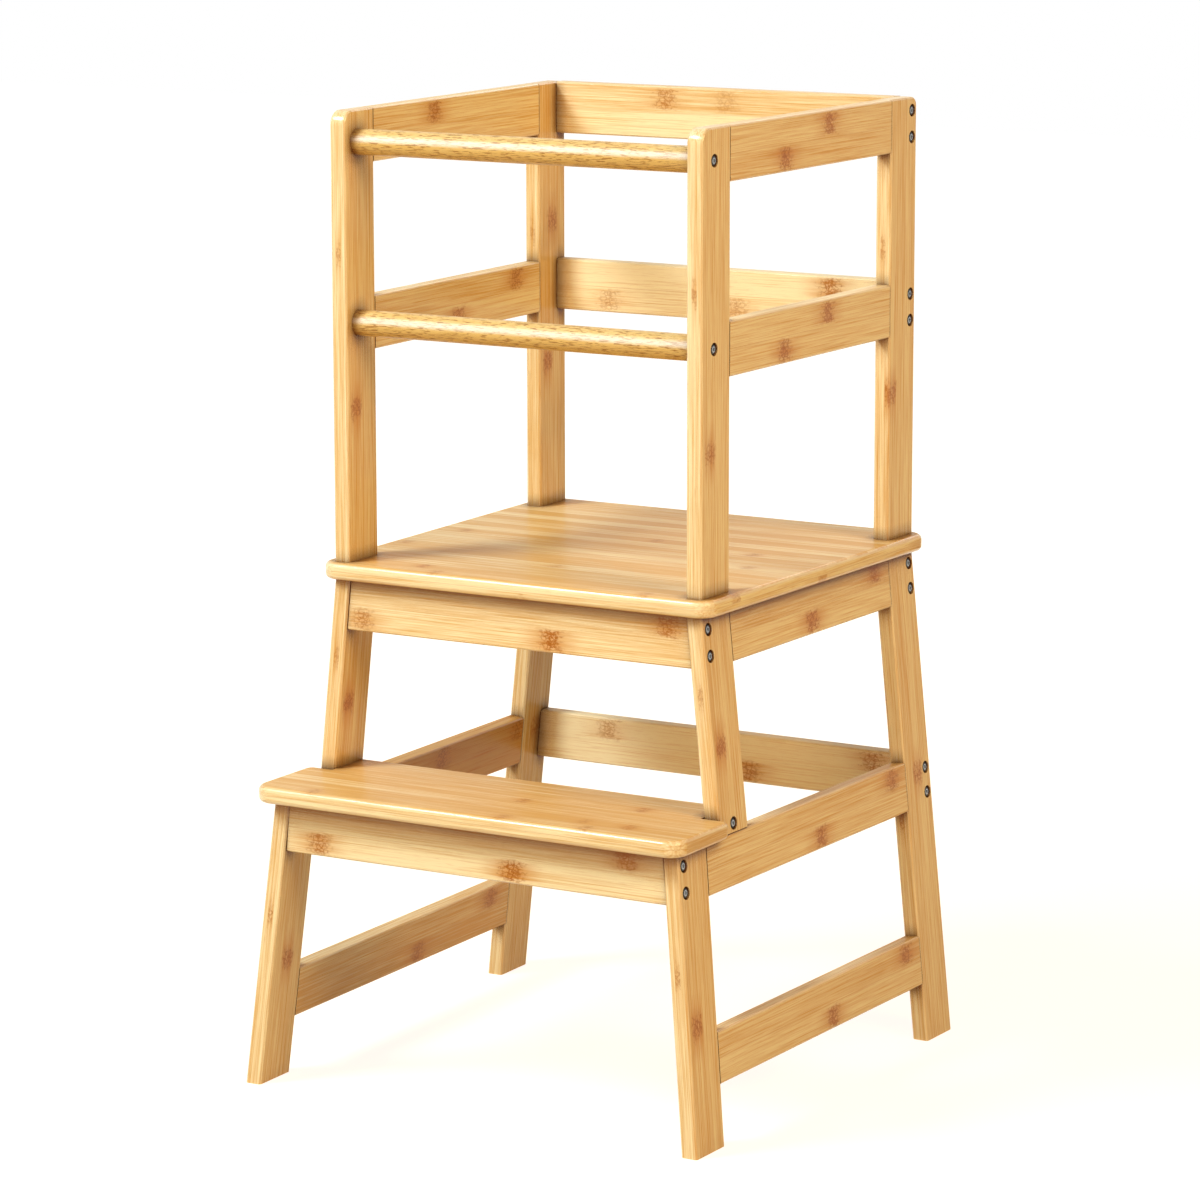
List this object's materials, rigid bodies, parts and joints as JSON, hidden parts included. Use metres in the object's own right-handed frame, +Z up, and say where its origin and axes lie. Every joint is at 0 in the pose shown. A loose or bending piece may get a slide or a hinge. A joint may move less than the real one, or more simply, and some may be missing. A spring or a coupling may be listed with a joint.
{
  "type": "toddler step stool tower",
  "caption": "Rigid bamboo kitchen tower stool for a child: guard cage with side rails and front bars on a platform, above a splayed frame with a lower step.",
  "frame": {"origin": "floor level, in the middle of the tower's width and depth", "axes": "+Z up, -Y towards the side the child climbs in from, X across the tower"},
  "size_m": [0.4976, 0.507, 0.9],
  "materials": {
    "bamboo_upright": "pale bamboo with a clear satin varnish, fine streaks along the length",
    "bamboo_rail": "pale bamboo in two glued strips with a clear satin varnish and darker node marks",
    "bamboo_board": "edge-glued pale bamboo board with a clear satin varnish and softly rounded edges",
    "round_bar": "golden turned wood with short dark flecks and a glossier clear varnish",
    "bolt_steel": "bright zinc-plated steel"
  },
  "bodies": {
    "root": {"front_apron": "bamboo_rail", "front_bar_mid": "round_bar", "front_bar_top": "round_bar", "front_leg_upper_left": "bamboo_upright", "front_leg_upper_right": "bamboo_upright", "guard_post_front_left": "bamboo_upright", "guard_post_front_right": "bamboo_upright", "guard_post_rear_left": "bamboo_upright", "guard_post_rear_right": "bamboo_upright", "guard_side_rail_mid_left": "bamboo_rail", "guard_side_rail_mid_right": "bamboo_rail", "guard_side_rail_top_left": "bamboo_rail", "guard_side_rail_top_right": "bamboo_rail", "low_side_stretcher_left": "bamboo_rail", "low_side_stretcher_right": "bamboo_rail", "mid_side_rail_left": "bamboo_rail", "mid_side_rail_right": "bamboo_rail", "platform_board": "bamboo_board", "rear_apron": "bamboo_rail", "rear_leg_left": "bamboo_upright", "rear_leg_right": "bamboo_upright", "rear_rail_mid": "bamboo_rail", "rear_rail_top": "bamboo_rail", "rear_stretcher": "bamboo_rail", "side_apron_left": "bamboo_rail", "side_apron_right": "bamboo_rail", "step_apron": "bamboo_rail", "step_board": "bamboo_board", "step_leg_left": "bamboo_upright", "step_leg_right": "bamboo_upright"}
  },
  "joints": []
}
